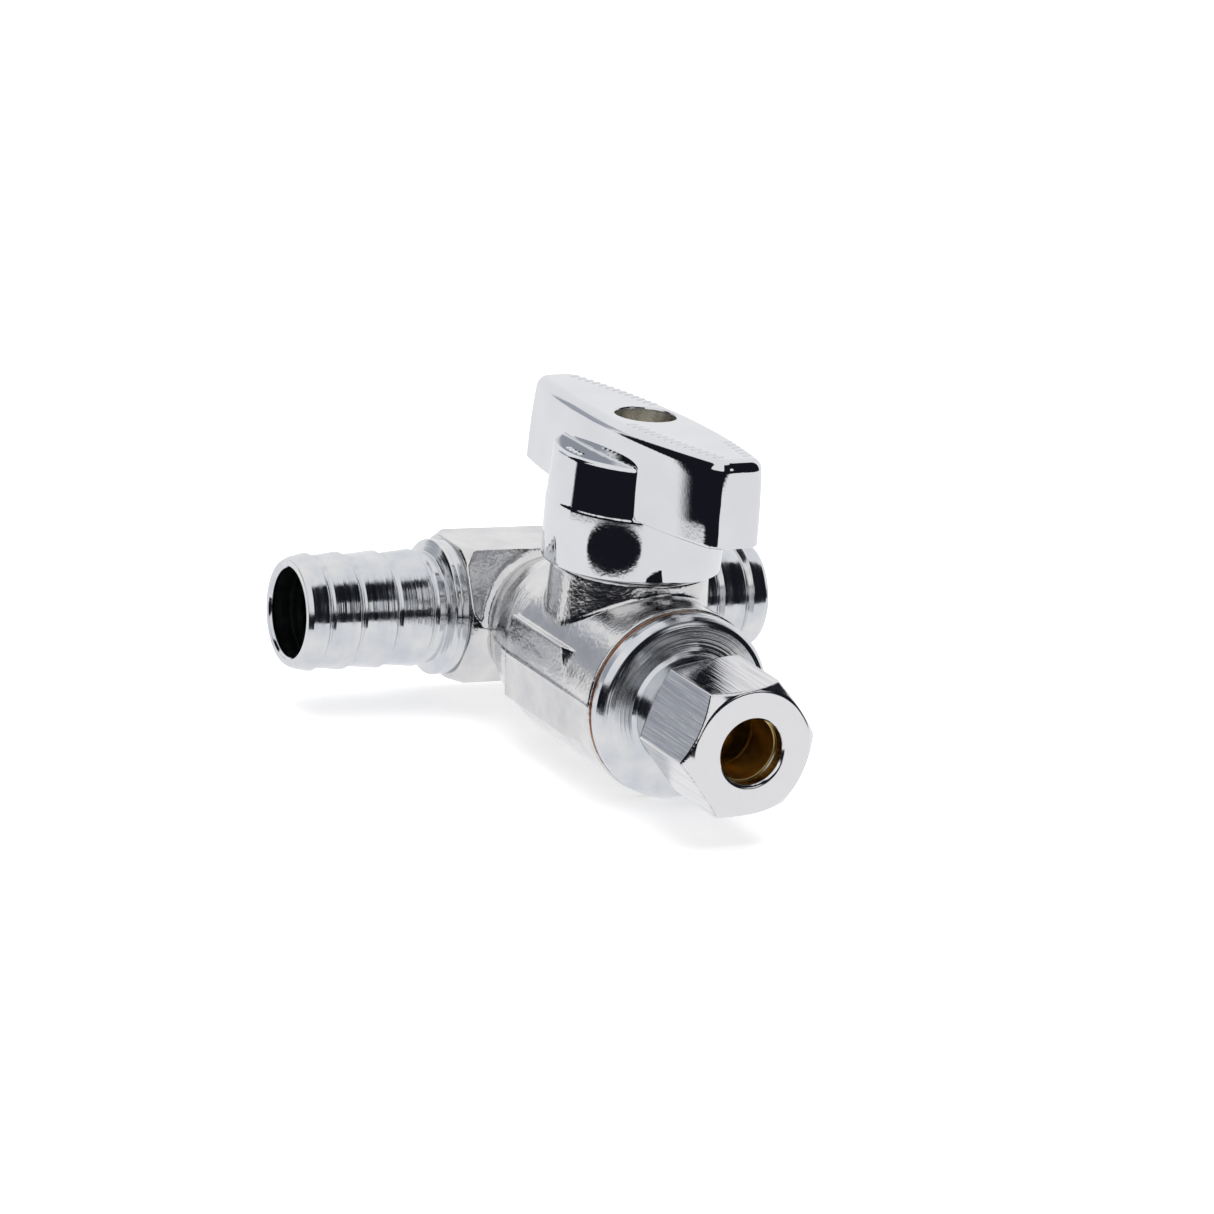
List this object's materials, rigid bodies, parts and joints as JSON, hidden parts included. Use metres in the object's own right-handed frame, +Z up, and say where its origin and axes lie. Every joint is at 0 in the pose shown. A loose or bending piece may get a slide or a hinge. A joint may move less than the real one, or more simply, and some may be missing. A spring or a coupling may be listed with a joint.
{
  "type": "tee ball stop valve",
  "caption": "Quarter-turn ball stop valve: a barbed straight run for plastic water pipe, a side branch with a lever handle, and a compression outlet for a small tube.",
  "frame": {"origin": "on the small flat under the body, directly below the stem axis", "axes": "+X along the barbed run, -Y out of the tube outlet, +Z up the stem axis"},
  "size_m": [0.0534, 0.0592, 0.0358],
  "materials": {
    "forged_chrome": "chrome plate over a lightly textured forging",
    "turned_chrome": "bright chrome plate over turned brass",
    "handle_chrome": "mirror chrome plate",
    "seal_copper": "dull copper-toned seal",
    "brass": "turned brass",
    "ball_chrome": "polished chrome plate",
    "seat_polymer": "smooth white polymer",
    "o_ring_rubber": "matt black rubber",
    "screw_steel": "plain machined steel"
  },
  "bodies": {
    "valve": {"tee_body": "forged_chrome", "outlet_adapter": "turned_chrome", "adapter_seal_ring": "seal_copper", "ball_seat_inlet": "seat_polymer", "ball_seat_outlet": "seat_polymer"},
    "handle_set": {"handle": "handle_chrome", "handle_screw": "screw_steel", "handle_lock_washer": "screw_steel", "stem": "brass", "stem_thrust_washer": "seat_polymer", "stem_o_ring_lower": "o_ring_rubber", "stem_o_ring_upper": "o_ring_rubber", "ball": "ball_chrome"},
    "sleeve": {"compression_sleeve": "brass"},
    "nut": {"compression_nut": "turned_chrome"}
  },
  "joints": [
    {"name": "handle_turn", "type": "hinge", "parent": "valve", "child": "handle_set", "pos_m": [0, 0, 0.0094], "axis": [0, 0, -1], "range_deg": [0, 90]},
    {"name": "nut_travel", "type": "slide", "parent": "valve", "child": "sleeve", "axis": [0, -1, 0], "range_m": [0, 0.00476]},
    {"name": "nut_turn", "type": "hinge", "parent": "sleeve", "child": "nut", "pos_m": [0, -0.023, 0.0094], "axis": [0, -1, 0], "range_deg": [0, 1620]}
  ],
  "couplings": [
    {"joint": "nut_turn", "follows": "nut_travel", "rad_per_m": 5936.8}
  ]
}
